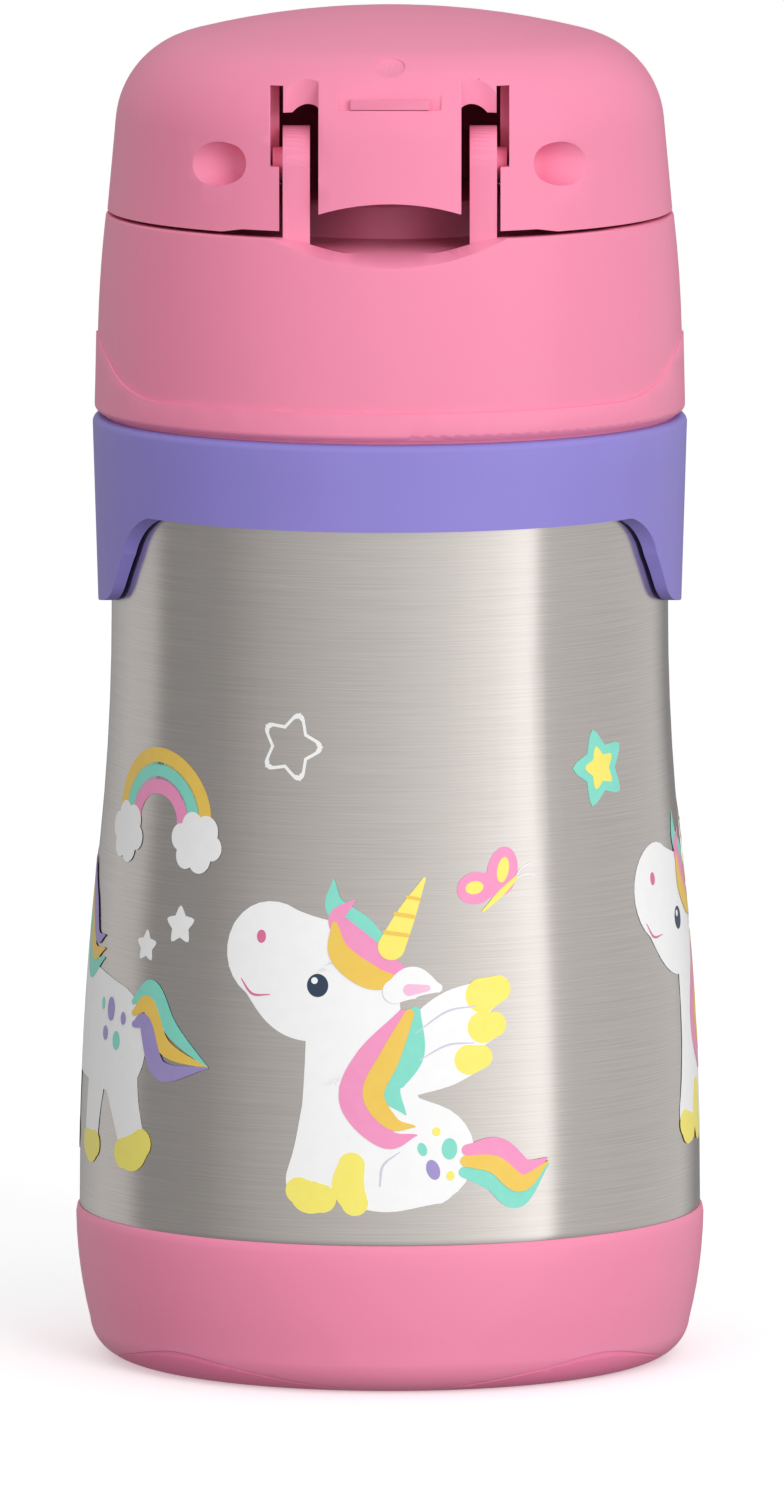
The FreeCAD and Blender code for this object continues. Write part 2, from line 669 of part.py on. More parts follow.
def make_spout():
    """Silicone root with a ball seat, the folding tip at rest, and the straw."""
    root = revolve_at("Root", [
        ("0", "stem_bottom"), ("stem_radius", "stem_bottom"), ("stem_radius", "turret_top"),
        ("flange_radius", "turret_top"), ("flange_radius - 0.8", "turret_top + 1.2"),
        ("stem_radius", "ball_z - seat_rim"), ("0", "ball_z - seat_rim")], "0", "spout_y")
    bores = [sphere("Seat", "ball_radius + seat_play", y="spout_y", z="ball_z"),
             cylinder("Straw_seat", "straw_radius", "straw_top - stem_bottom + 1", y="spout_y",
                      z="stem_bottom - 1"),
             cylinder("Root_bore", "straw_radius - straw_wall", "30", y="spout_y",
                      z="stem_bottom - 1")]
    keep(cut("Root_bored", root, bores), "spout_base")
    lie = math.radians(value("spout_rest_angle"))
    along = (0, math.cos(lie), math.sin(lie))
    far_y = f"spout_y + spout_length * {along[1]:.6f}"
    far_z = f"ball_z + spout_length * {along[2]:.6f}"
    tip = fuse("Tip_solid", [
        sphere("Tip_ball", "ball_radius", y="spout_y", z="ball_z"),
        cylinder("Tip_tube", "spout_end_radius", "spout_length", y="spout_y", z="ball_z",
                 direction=along),
        sphere("Tip_end", "spout_end_radius + 0.5", y=far_y, z=far_z)])
    bore = cylinder("Tip_bore", "straw_radius - straw_wall - 0.4", "spout_length * 2 + 14",
                    y=f"spout_y - 7 * {along[1]:.6f}", z=f"ball_z - 7 * {along[2]:.6f}",
                    direction=along)
    keep(cut("Tip_bored", tip, bore), "spout_tip")
    straw = cylinder("Straw_rod", "straw_radius", "straw_top - straw_bottom", y="spout_y",
                     z="straw_bottom")
    inside = cylinder("Straw_hole", "straw_radius - straw_wall", "straw_top - straw_bottom",
                      y="spout_y", z="straw_bottom")
    keep(cut("Straw", straw, inside), "straw_tube")


def cap_profile(inset, low):
    """Corners of the cap's dome moved in by an inset: draft wall, shoulder round, crown."""
    round_ = f"(cap_round - {inset})"
    wall_r = f"(cap_round_r + {round_} * cos(cap_draft))"
    wall_z = f"({CAP_ROUND_Z} + {round_} * sin(cap_draft))"
    reach = "(cap_round_r / (crown_radius - cap_round))"
    crown_r = f"({reach} * (crown_radius - {inset}))"
    crown_z = f"({CROWN_CENTRE} + (crown_radius - {inset}) * sqrt(1 - {reach}^2))"
    return [("0", low), (f"{wall_r} + ({wall_z} - {low}) * tan(cap_draft)", low),
            (wall_r, wall_z), (crown_r, crown_z), ("0", f"cap_top - {inset}")]


def cap_arcs(inset):
    """Arcs that go with cap_profile."""
    return {2: f"cap_round - {inset}", 3: f"crown_radius - {inset}"}


def make_cap():
    """Flip cap: dome, slot walls, pivot hubs, slots, boss channels, tab arch and dimples."""
    dome = revolve("Cap", cap_profile("0", "cap_rim"), cap_arcs("0"))
    hollow = revolve("Cap_hollow", cap_profile("cap_wall", "(cap_rim - 1)"), cap_arcs("cap_wall"))
    shell = cut("Cap_shell", dome, hollow)
    ribs = []
    tools = []
    for side in (-1, 1):
        name = "_left" if side < 0 else "_right"
        for inner, outer, deep in (("slot_inner - rib", "slot_inner", "rib_end"),
                                   ("slot_outer", "slot_outer + side_rib", "rib_end + 0.2")):
            ribs.append(box("Wall" + name, across(side, inner, outer), ("-reach", deep),
                            ("tab_corner + 0.6", "cap_top")))
        ribs.append(cylinder("Hub" + name, "hub_radius", "reach", x=f"{side} * slot_outer",
                             y="hinge_y", z="hinge_z", direction=(side, 0, 0)))
        tools += slot_tools(side, name)
    body = fuse("Cap_ribbed", [shell, common("Cap_ribs", outer_form(), fuse("Ribs", ribs))])
    tools.append(prism("Tab_arch", "XZ_Plane", [
        ("-slot_outer", "cap_rim - 2"), ("slot_outer", "cap_rim - 2"),
        ("slot_outer", "tab_corner"), ("slot_inner", "tab_corner"), ("-slot_inner", "tab_corner"),
        ("-slot_outer", "tab_corner")], "-reach", "-20", {3: "tab_arch"}))
    tools.append(prism("Rim_trim", "XZ_Plane", [
        ("-trim_half", "cap_rim"), ("-trim_half", "cap_rim - 2"), ("trim_half", "cap_rim - 2"),
        ("trim_half", "cap_rim"), ("trim_step", "cap_rim + trim_rise"),
        ("-trim_step", "cap_rim + trim_rise")], "-reach", "-20"))
    tools.append(prism("Grip_recess", "YZ_Plane", [
        ("grip_high_y", "grip_high"), ("grip_low_y", "grip_low"), ("grip_front", "grip_low"),
        ("grip_front", "grip_high")], "-grip_half", "grip_half"))
    tools.append(cylinder("Gate_mark", "gate_radius", "2", y="gate_y", z="gate_z",
                          direction=(0, -0.52, 0.854)))
    bar = box("Grip_bar", ("-grip_bar_half", "grip_bar_half"),
              ("grip_bar_front", "grip_bar_back"), ("grip_low + 0.1", "grip_low + 1.3"))
    lug = box("Latch_lug", ("-hook_width / 2", "hook_width / 2"), ("lug_inner", "lug_outer"),
              ("cap_rim + 0.2", "cap_rim + lug_top"))
    keep(fuse("Cap_finished", [cut("Cap_cut", body, tools), bar, lug]), "cap_shell")
    top = "(crown_radius - cap_wall - 0.1)"
    rise = f"({CROWN_CENTRE} + sqrt({top}^2 - liner_radius^2))"
    keep(revolve("Liner", [("0", "liner_bottom"), ("liner_radius", "liner_bottom"),
                           ("liner_radius", rise), ("0", f"{CROWN_CENTRE} + {top}")],
                 {2: top}), "cap_liner")


def outer_form():
    """The cap's full outer form, used to trim the ribs."""
    return revolve("Cap_form", cap_profile("0.3", "cap_rim"), cap_arcs("0.3"))


def across(side, inner, outer):
    """Range along X on one side of the middle plane."""
    return (inner, outer) if side > 0 else (f"-({outer})", f"-({inner})")


def slot_tools(side, name):
    """What one hinge arm's slot takes out of the cap."""
    inner, outer = across(side, "slot_inner", "slot_outer")
    slot = prism("Slot" + name, "XY_Plane", [
        (inner, "-reach"), (outer, "-reach"), (outer, "slot_end - slot_depth"),
        (inner, "slot_end - slot_depth")], "cap_rim - 2", "cap_top + 2", {2: "slot_end_round"})
    well = box("Well" + name, (inner, outer), ("well_front", "well_back"),
               ("cap_rim - 2", "well_top"))
    channel = box("Channel" + name, across(side, "slot_outer - 0.5", "channel_outer"),
                  ("-reach", "hinge_y + boss_radius + pivot_play"), ("hinge_z", "channel_top"))
    pivot = cylinder("Pivot" + name, "boss_radius + pivot_play", "channel_outer - slot_outer + 1",
                     x=f"{side} * (slot_outer - 1)", y="hinge_y", z="hinge_z",
                     direction=(side, 0, 0))
    dimple = cylinder("Dimple" + name, "dimple_radius", "20", x=f"{side} * dimple_end",
                      y="hinge_y", z="hinge_z", direction=(side, 0, 0))
    ball = sphere("Dimple_ball" + name, "dimple_radius", x=f"{side} * dimple_end",
                  y="hinge_y", z="hinge_z")
    return [slot, well, channel, pivot, dimple, ball]


def make_button():
    """Push button with a flange behind the wall and a catch, and its coil spring."""
    face = revolve("Button_round", [
        ("flange_inner", "button_bottom - 1"), ("button_face", "button_bottom - 1"),
        ("button_face - 0.3", "button_top + 1"), ("flange_inner", "button_top + 1")])
    shape = prism("Button_shape", "XZ_Plane", rounded("button_width / 2", "button_bottom",
                  "button_top", "2"), "20", "45", rounded_arcs("2"))
    back = revolve("Flange_round", [
        ("flange_inner", "button_bottom - 1.2"), ("flange_outer", "button_bottom - 1.2"),
        ("flange_outer", "button_top + 1"), ("flange_inner", "button_top + 1")])
    back_shape = box("Flange_box", ("-button_width / 2 - 1.2", "button_width / 2 + 1.2"),
                     ("20", "45"), ("button_bottom - 2", "button_top + 2"))
    stem = box("Catch_stem", ("-hook_width / 2", "hook_width / 2"), ("catch_inner", "catch_outer"),
               ("ceiling + ceiling_thickness + 0.5", "cap_rim + 1.8"))
    root = box("Catch_root", ("-hook_width / 2", "hook_width / 2"), ("catch_inner", "catch_root"),
               ("ceiling + ceiling_thickness + 0.5", "button_top"))
    pocket = cylinder("Spring_pocket", "spring_radius + 0.4", "pocket_depth", y="pocket_start",
                      z="spring_z", direction=(0, 1, 0))
    solid = fuse("Button_solid", [common("Button_front", face, shape),
                                  common("Button_flange", back, back_shape), stem, root])
    keep(cut("Button", solid, pocket), "push_button")
    keep(make_spring(), "button_spring")


def make_spring():
    """Coil between the sleeve and the button's pocket, swept along a helix that points to +Y."""
    radius, wire = value("spring_radius"), value("spring_wire")
    start = value("sleeve_radius + sleeve_wall + 0.3") + wire / 2
    length = value("spring_length") - wire
    helix = Part.makeHelix(length / value("spring_turns"), length, radius)
    section = Part.Wire(Part.makeCircle(wire / 2, FreeCAD.Vector(radius, 0, 0),
                                        FreeCAD.Vector(0, 1, 0)))
    coil = document.addObject("Part::Feature", "Coil")
    coil.Shape = Part.Wire(helix).makePipeShell([section], True, True)
    turn = FreeCAD.Rotation(FreeCAD.Vector(0, 0, 1), FreeCAD.Vector(0, 1, 0))
    coil.Placement = FreeCAD.Placement(FreeCAD.Vector(0, start, value("spring_z")), turn)
    return coil


def check_and_export():
    """Stop on any failed object or bad shape, then write one file for each piece."""
    document.recompute()
    for thing in document.Objects:
        if "Invalid" in thing.State or "Error" in thing.State:
            raise RuntimeError(f"{thing.Name} failed: {thing.State}")
    for piece in pieces:
        if piece.Shape.isNull() or not piece.Shape.isValid():
            raise RuntimeError(f"{piece.Label} has a bad shape")
    os.makedirs("parts", exist_ok=True)
    for piece in pieces:
        piece.Shape.exportStep(f"parts/{piece.Label}.step")
        limits = piece.Shape.BoundBox
        print(f"{piece.Label}: {piece.Shape.Volume:.1f} mm3, z {limits.ZMin:.2f} to {limits.ZMax:.2f}")


make_outer_shell()
make_inner_vessel()
make_base_closure()
make_foot()
make_insert_and_seal()
make_collar()
make_grip_ring()
make_spout()
make_button()
make_cap()
check_and_export()
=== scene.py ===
"""Looks of a child's insulated straw bottle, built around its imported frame.

Metres, +Z up. The cap's hinge is on the -Y side, which faces the camera.
"""
import json
import math

import bmesh
import bpy
import numpy as np
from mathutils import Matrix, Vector


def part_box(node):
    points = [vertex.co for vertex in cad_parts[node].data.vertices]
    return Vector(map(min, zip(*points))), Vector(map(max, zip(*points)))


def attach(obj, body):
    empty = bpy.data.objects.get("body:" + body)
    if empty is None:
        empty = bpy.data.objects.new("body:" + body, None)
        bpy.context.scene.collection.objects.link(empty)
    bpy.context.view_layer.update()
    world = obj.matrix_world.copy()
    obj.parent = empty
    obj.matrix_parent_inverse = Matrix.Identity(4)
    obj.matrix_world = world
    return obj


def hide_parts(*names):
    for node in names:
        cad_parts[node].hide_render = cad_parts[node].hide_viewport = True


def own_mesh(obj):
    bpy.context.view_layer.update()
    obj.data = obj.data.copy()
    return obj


MM = 0.001
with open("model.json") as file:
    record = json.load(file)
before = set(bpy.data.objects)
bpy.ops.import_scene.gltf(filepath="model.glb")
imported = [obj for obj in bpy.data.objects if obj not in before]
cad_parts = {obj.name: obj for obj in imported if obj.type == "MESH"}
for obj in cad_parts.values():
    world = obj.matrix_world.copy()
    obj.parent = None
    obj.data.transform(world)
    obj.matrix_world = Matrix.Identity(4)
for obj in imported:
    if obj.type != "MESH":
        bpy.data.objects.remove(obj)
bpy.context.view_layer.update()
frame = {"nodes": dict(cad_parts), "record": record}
nodes = frame["nodes"]
slots = {part["node"]: part["material_slot"] for part in frame["record"]["subparts"]}
bodies = {node: body for body, names in frame["record"]["behaviour"]["bodies"].items()
          for node in names}


# ---------------------------------------------------------------- materials

def rgb(code):
    """Linear colour with alpha from an sRGB hex code."""
    parts = [int(code[i:i + 2], 16) / 255 for i in (0, 2, 4)]
    return [c / 12.92 if c <= 0.04045 else ((c + 0.055) / 1.055) ** 2.4 for c in parts] + [1.0]


def add(tree, kind, settings=None, **sockets):
    """Node of a kind; settings are its properties, sockets its inputs (values or outputs)."""
    made = tree.nodes.new(kind)
    for name, setting in (settings or {}).items():
        setattr(made, name, setting)
    for name, given in sockets.items():
        key = int(name[1:]) if name[0] == "i" and name[1:].isdigit() else name.replace("_", " ")
        if isinstance(given, bpy.types.NodeSocket):
            tree.links.new(given, made.inputs[key])
        else:
            made.inputs[key].default_value = given
    return made


def new_material(name):
    """Empty node material with an output, its tree and its object coordinates."""
    material = bpy.data.materials.new(name)
    material.use_nodes = True
    tree = material.node_tree
    tree.nodes.clear()
    place = add(tree, "ShaderNodeTexCoord").outputs["Object"]
    return material, tree, place


def finish_material(tree, shader):
    """Send a shader to the surface."""
    add(tree, "ShaderNodeOutputMaterial", Surface=shader.outputs[0])


def blend_colours(tree, factor, low, high):
    """Colour between two hex codes."""
    mix = add(tree, "ShaderNodeMix", {"data_type": "RGBA"}, Factor=factor)
    mix.inputs[6].default_value = rgb(low)
    mix.inputs[7].default_value = rgb(high)
    return mix.outputs[2]


def moulded_plastic(name, low, high, roughness, grain_mm, bump, subsurface=0.0, specular=0.5):
    """Injection-moulded plastic: even colour, faint flow clouds and a fine spark-eroded grain."""
    material, tree, place = new_material(name)
    clouds = add(tree, "ShaderNodeTexNoise", Vector=place, Scale=1 / (22 * MM), Detail=3.0)
    grain = add(tree, "ShaderNodeTexNoise", Vector=place, Scale=1 / (grain_mm * MM), Detail=2.0,
                Roughness=0.6)
    colour = blend_colours(tree, clouds.outputs["Fac"], low, high)
    rough = add(tree, "ShaderNodeMapRange", None, i0=grain.outputs["Fac"], i3=roughness - 0.05,
                i4=roughness + 0.07)
    relief = add(tree, "ShaderNodeBump", Strength=bump, Distance=0.02 * MM,
                 Height=grain.outputs["Fac"])
    shader = add(tree, "ShaderNodeBsdfPrincipled", Base_Color=colour,
                 Roughness=rough.outputs["Result"], Normal=relief.outputs["Normal"])
    shader.inputs["Specular IOR Level"].default_value = specular
    shader.inputs["Subsurface Weight"].default_value = subsurface
    shader.inputs["Subsurface Radius"].default_value = (1.0, 0.5, 0.5)
    shader.inputs["Subsurface Scale"].default_value = 0.8 * MM
    finish_material(tree, shader)
    return material


def brushed_steel(name, low, high, roughness, line_mm, anisotropy):
    """Stainless steel brushed round its axis: hair lines run round it and lights stretch up."""
    material, tree, place = new_material(name)
    axes = add(tree, "ShaderNodeSeparateXYZ", Vector=place)
    turn = add(tree, "ShaderNodeMath", {"operation": "ARCTAN2"}, i0=axes.outputs["Y"],
               i1=axes.outputs["X"])
    around = add(tree, "ShaderNodeMath", {"operation": "MULTIPLY"}, i0=turn.outputs[0], i1=2.2)
    up = add(tree, "ShaderNodeMath", {"operation": "MULTIPLY"}, i0=axes.outputs["Z"],
             i1=1 / (line_mm * MM))
    lines_at = add(tree, "ShaderNodeCombineXYZ", X=around.outputs[0], Y=up.outputs[0])
    lines = add(tree, "ShaderNodeTexNoise", Vector=lines_at.outputs[0], Scale=1.0, Detail=4.0,
                Roughness=0.65)
    broad_up = add(tree, "ShaderNodeMath", {"operation": "MULTIPLY"}, i0=axes.outputs["Z"],
                   i1=1 / (6 * line_mm * MM))
    broad_at = add(tree, "ShaderNodeCombineXYZ", X=around.outputs[0], Y=broad_up.outputs[0],
                   Z=3.7)
    broad = add(tree, "ShaderNodeTexNoise", Vector=broad_at.outputs[0], Scale=1.0, Detail=3.0)
    both = add(tree, "ShaderNodeMath", {"operation": "MULTIPLY_ADD"}, i0=broad.outputs["Fac"],
               i1=0.15, i2=lines.outputs["Fac"])
    level = add(tree, "ShaderNodeMapRange", None, i0=both.outputs[0], i1=0.3, i2=0.85)
    rough = add(tree, "ShaderNodeMapRange", None, i0=level.outputs["Result"],
                i3=roughness - 0.03, i4=roughness + 0.04)
    relief = add(tree, "ShaderNodeBump", Strength=0.1, Distance=0.01 * MM,
                 Height=lines.outputs["Fac"])
    ring = add(tree, "ShaderNodeTangent", {"direction_type": "RADIAL", "axis": "Z"})
    shader = add(tree, "ShaderNodeBsdfPrincipled", Metallic=1.0,
                 Base_Color=blend_colours(tree, level.outputs["Result"], low, high),
                 Roughness=rough.outputs["Result"], Normal=relief.outputs["Normal"],
                 Anisotropic=anisotropy, Anisotropic_Rotation=0.25, Tangent=ring.outputs[0])
    finish_material(tree, shader)
    return material


def soft_silicone(name, low, high, transmission):
    """Moulded silicone: milky, slightly see-through, with a soft matt skin."""
    material, tree, place = new_material(name)
    haze = add(tree, "ShaderNodeTexNoise", Vector=place, Scale=1 / (5 * MM), Detail=3.0)
    skin = add(tree, "ShaderNodeTexNoise", Vector=place, Scale=1 / (0.35 * MM))
    relief = add(tree, "ShaderNodeBump", Strength=0.15, Distance=0.02 * MM,
                 Height=skin.outputs["Fac"])
    rough = add(tree, "ShaderNodeMapRange", None, i0=haze.outputs["Fac"], i3=0.34, i4=0.46)
    shader = add(tree, "ShaderNodeBsdfPrincipled",
                 Base_Color=blend_colours(tree, haze.outputs["Fac"], low, high),
                 Roughness=rough.outputs["Result"], Normal=relief.outputs["Normal"], IOR=1.41)
    shader.inputs["Transmission Weight"].default_value = transmission
    shader.inputs["Subsurface Weight"].default_value = 0.35
    shader.inputs["Subsurface Radius"].default_value = (1.0, 0.9, 0.8)
    shader.inputs["Subsurface Scale"].default_value = 1.5 * MM
    finish_material(tree, shader)
    return material


def printing_ink(name, low, high):
    """Screen-printed enamel ink: satin film with a faint mottle from the mesh."""
    material, tree, place = new_material(name)
    mottle = add(tree, "ShaderNodeTexNoise", Vector=place, Scale=1 / (1.6 * MM), Detail=4.0)
    mesh_grain = add(tree, "ShaderNodeTexNoise", Vector=place, Scale=1 / (0.3 * MM))
    relief = add(tree, "ShaderNodeBump", Strength=0.12, Distance=0.01 * MM,
                 Height=mesh_grain.outputs["Fac"])
    rough = add(tree, "ShaderNodeMapRange", None, i0=mottle.outputs["Fac"], i3=0.36, i4=0.5)
    shader = add(tree, "ShaderNodeBsdfPrincipled",
                 Base_Color=blend_colours(tree, mottle.outputs["Fac"], low, high),
                 Roughness=rough.outputs["Result"], Normal=relief.outputs["Normal"])
    finish_material(tree, shader)
    return material


FINISHES = {
    # satin ABS in baby pink, grain too fine to count but enough to soften highlights
    "pink_plastic": moulded_plastic("satin_pink_abs", "F58CAE", "F991B3", 0.40, 0.45, 0.25, 0.08),
    # matt thermoplastic rubber; its pink is a shade duller than the cup it sits in, which is
    # painted shade for the downward-facing foot
    "foot_rubber": moulded_plastic("matt_pink_tpr_painted_shade", "F07BA4", "F686AC", 0.58, 0.35, 0.35),
    # over-moulded thermoplastic rubber: soft sheen with no sharp highlight
    "purple_grip": moulded_plastic("soft_purple_tpr", "8C80D0", "9589D8", 0.46, 0.40, 0.3, 0.05),
    # satin ABS like the cap's, tighter highlight than the rubber above it
    "purple_plastic": moulded_plastic("satin_purple_abs", "8C80D0", "968BD8", 0.38, 0.45, 0.25),
    # natural polypropylene: light goes a little way in, so it looks milky
    "white_plastic": moulded_plastic("milky_polypropylene", "ECE8E6", "F6F3F0", 0.42, 0.5, 0.2,
                                     0.2),
    # stainless steel brushed round the body: fine hair lines and tall soft reflections
    "brushed_shell": brushed_steel("ring_brushed_steel", "CEC7C2", "E2DCD7", 0.22, 0.17, 0.6),
    # stainless steel as drawn and washed: even, slightly duller, no clear lines
    "vessel_steel": brushed_steel("drawn_steel", "A8A4A2", "BDB9B6", 0.24, 0.5, 0.3),
    # hard-drawn spring wire: dark and fairly bright
    "spring_steel": brushed_steel("spring_wire", "9B9896", "B5B2AF", 0.22, 0.1, 0.0),
    # braze and pressed getter powder: matt grey
    "plug_metal": brushed_steel("matt_sealing_metal", "8A8784", "9D9A97", 0.5, 0.3, 0.0),
    # foamed acrylic tape: cloudy and dull
    "adhesive": soft_silicone("acrylic_tape", "D2D0C6", "E2E0D8", 0.2),
    # food-grade silicone: milky, half clear
    "clear_silicone": soft_silicone("milky_silicone", "E6E2DC", "F2EFEA", 0.25),
    # extruded polypropylene tube: clearer than the silicone
    "straw_plastic": soft_silicone("clear_polypropylene", "E8E6EA", "F4F2F4", 0.4),
}


# ---------------------------------------------------------------- carried-over parts

def smooth_copy(node, edge_mm, angle=32):
    """Welded copy of a frame part with smooth faces and small rounds on its sharp edges."""
    mesh = nodes[node].data.copy()
    work = bmesh.new()
    work.from_mesh(mesh)
    bmesh.ops.remove_doubles(work, verts=work.verts, dist=0.002 * MM)
    bmesh.ops.dissolve_degenerate(work, edges=work.edges, dist=0.002 * MM)
    work.to_mesh(mesh)
    work.free()
    mesh.polygons.foreach_set("use_smooth", np.ones(len(mesh.polygons), dtype=bool))
    mesh.set_sharp_from_angle(angle=math.radians(angle))
    piece = bpy.data.objects.new(node + "_finish", mesh)
    bpy.context.collection.objects.link(piece)
    if edge_mm:
        rounds = piece.modifiers.new("edge_rounds", "BEVEL")
        rounds.width = edge_mm * MM
        rounds.segments = 2
        rounds.limit_method = "ANGLE"
        rounds.angle_limit = math.radians(angle)
        rounds.use_clamp_overlap = True
        rounds.harden_normals = True
    return dress(piece, node)


def dress(piece, node):
    """Give a piece the node's body and the finish of the node's slot, and hide the node."""
    piece.data.materials.clear()
    piece.data.materials.append(FINISHES[slots[node]])
    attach(piece, bodies[node])
    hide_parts(node)
    return piece


def keep_as_cad(node):
    """Leave a part's mesh as it is and give it its finish."""
    data = nodes[node].data
    data.materials.clear()
    data.materials.append(FINISHES[slots[node]])


EDGES_MM = {"cap_shell": 0.25, "lid_collar": 0.25, "grip_ring": 0.3, "base_cup": 0.15,
            "foot_pad": 0.1, "push_button": 0.3, "outer_shell": 0.0, "spout_tip": 0.0,
            "spout_base": 0.0, "threaded_insert": 0.0, "cap_liner": 0.2, "button_spring": 0.0}
finished = {}
for part in slots:
    if part in EDGES_MM:
        finished[part] = smooth_copy(part, EDGES_MM[part])
    else:
        keep_as_cad(part)


def shorten_spring():
    """Give the coil's finished copy a mesh of its own."""
    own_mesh(finished["button_spring"])


shorten_spring()


# ---------------------------------------------------------------- printing on the steel

PRINT_RADIUS = 37.6 * MM        # mean radius of the wall: artwork is drawn flat, then wrapped
LAYER = 0.03 * MM               # each ink stands this much prouder than the one under it
PRIMER = 0.8                    # height of the lowest ink over the steel, in layers
PATCH_SPREAD = 0.7              # patches of one ink share this part of a layer, one over another
FILM = 0.02 * MM                # thickness of one ink
WELD = 0.0005 * MM              # corners closer than this are one
CENTRE_Z = 44.0                 # height in mm of the artwork's own origin


def wall_radius(up):
    """Radius of the steel wall at heights in metres: outward round, straight cone, inward round.

    The slope grows from 0 at the start of the taper to tan(angle) at the bend, holds to the release
    and falls back to 0 at the end; the radius is the widest one less the integral of the slope.
    """
    start, bend, release, end, angle = 20 * MM, 60 * MM, 66 * MM, 95 * MM, math.radians(5.86)
    levels = np.linspace(start, end, 400)
    slope = math.tan(angle) * np.interp(levels, (start, bend, release, end), (0, 1, 1, 0))
    lost = np.concatenate([[0], np.cumsum((slope[1:] + slope[:-1]) / 2 * np.diff(levels))])
    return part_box("outer_shell")[1][0] - np.interp(up, levels, lost)


def wrap(flat, layer):
    """Flat artwork (mm across, mm up) laid on the wall: angle = across / mean radius."""
    up = (flat[..., 1] + CENTRE_Z) * MM
    turn = flat[..., 0] * MM / PRINT_RADIUS
    radius = wall_radius(up) + (layer + PRIMER) * LAYER
    return np.stack([radius * np.sin(turn), -radius * np.cos(turn), up], axis=-1)


def smooth_path(points, steps):
    """Catmull-Rom curve through points: cubic in t with tangents (next - last) / 2."""
    points = np.asarray(points, dtype=float)
    ends = np.vstack([2 * points[0] - points[1], points, 2 * points[-1] - points[-2]])
    t = np.linspace(0, len(points) - 1, steps)
    k = np.minimum(t.astype(int), len(points) - 2)
    t = (t - k)[:, None]
    a, b, c, d = ends[k], ends[k + 1], ends[k + 2], ends[k + 3]
    return 0.5 * (2 * b + (c - a) * t + (2 * a - 5 * b + 4 * c - d) * t ** 2
                  + (3 * b - a - 3 * c + d) * t ** 3)


def ribbon(points, widths, steps=44, across=None):
    """Stroke along a smooth path; its width runs smoothly through widths and its ends are round.

    Rows: path(t) + normal(t) * half_width(t) * v, v from -1 to 1; a round end steps out by
    half_width * cos(u) and narrows by sin(u).
    """
    across = across or 5 + int(max(widths) / 0.6)
    path = smooth_path(points, steps)
    at = np.linspace(0, 1, len(widths))
    spread = smooth_path(np.stack([at, widths], axis=1), steps)[:, 1]
    half = np.maximum(spread, 0.02) / 2
    along = np.gradient(path, axis=0)
    along /= np.linalg.norm(along, axis=1)[:, None]
    u = np.linspace(0.05, math.pi / 2, 8)[:-1]
    first = path[0] - along[0] * (half[0] * np.cos(u))[:, None]
    last = path[-1] + along[-1] * (half[-1] * np.cos(u[::-1]))[:, None]
    path = np.vstack([first, path, last])
    along = np.vstack([np.repeat(along[:1], len(u), 0), along, np.repeat(along[-1:], len(u), 0)])
    half = np.concatenate([half[0] * np.sin(u), half, half[-1] * np.sin(u[::-1])])
    normal = np.stack([-along[:, 1], along[:, 0]], axis=1)
    v = np.linspace(-1, 1, across)
    return path[:, None, :] + normal[:, None, :] * (half[:, None] * v)[:, :, None]


def hairline(points, widths):
    """Thin stroke with few corners."""
    return ribbon(points, widths, steps=20, across=4)


def spot(centre, radii, tilt=0.0, edge=None, inner=0.0, turns=60, rings=6):
    """Filled round shape: centre + ring * reach(angle) * radii, reach 1 or edge(angle).

    The rings run from inner, which leaves a hole, to 1.
    """
    angle = np.linspace(0, 2 * math.pi, turns + 1)
    reach = np.ones_like(angle) if edge is None else edge(angle)
    ring = np.linspace(inner, 1, rings)
    x = ring[:, None] * (reach * np.cos(angle))[None, :] * radii[0]
    y = ring[:, None] * (reach * np.sin(angle))[None, :] * radii[1]
    c, s = math.cos(tilt), math.sin(tilt)
    return np.stack([centre[0] + c * x - s * y, centre[1] + s * x + c * y], axis=-1)


def star_edge(depth=0.52, tips=5, softness=0.12):
    """Star's radius by angle: straight sides between tips and notches, with rounded tips."""
    def edge(angle):
        half = math.pi / tips
        part = np.abs((angle + half) % (2 * half) - half)
        side = depth * math.sin(half) / (depth * np.sin(half - part) + np.sin(part))
        return side * (1 - softness * np.exp(-(part / 0.10) ** 2))
    return edge


def star(centre, size, tilt=0.0, inner=0.0, softness=0.12):
    """Five-pointed star with soft tips."""
    return spot(centre, (size, size), tilt, star_edge(softness=softness), inner, 200)


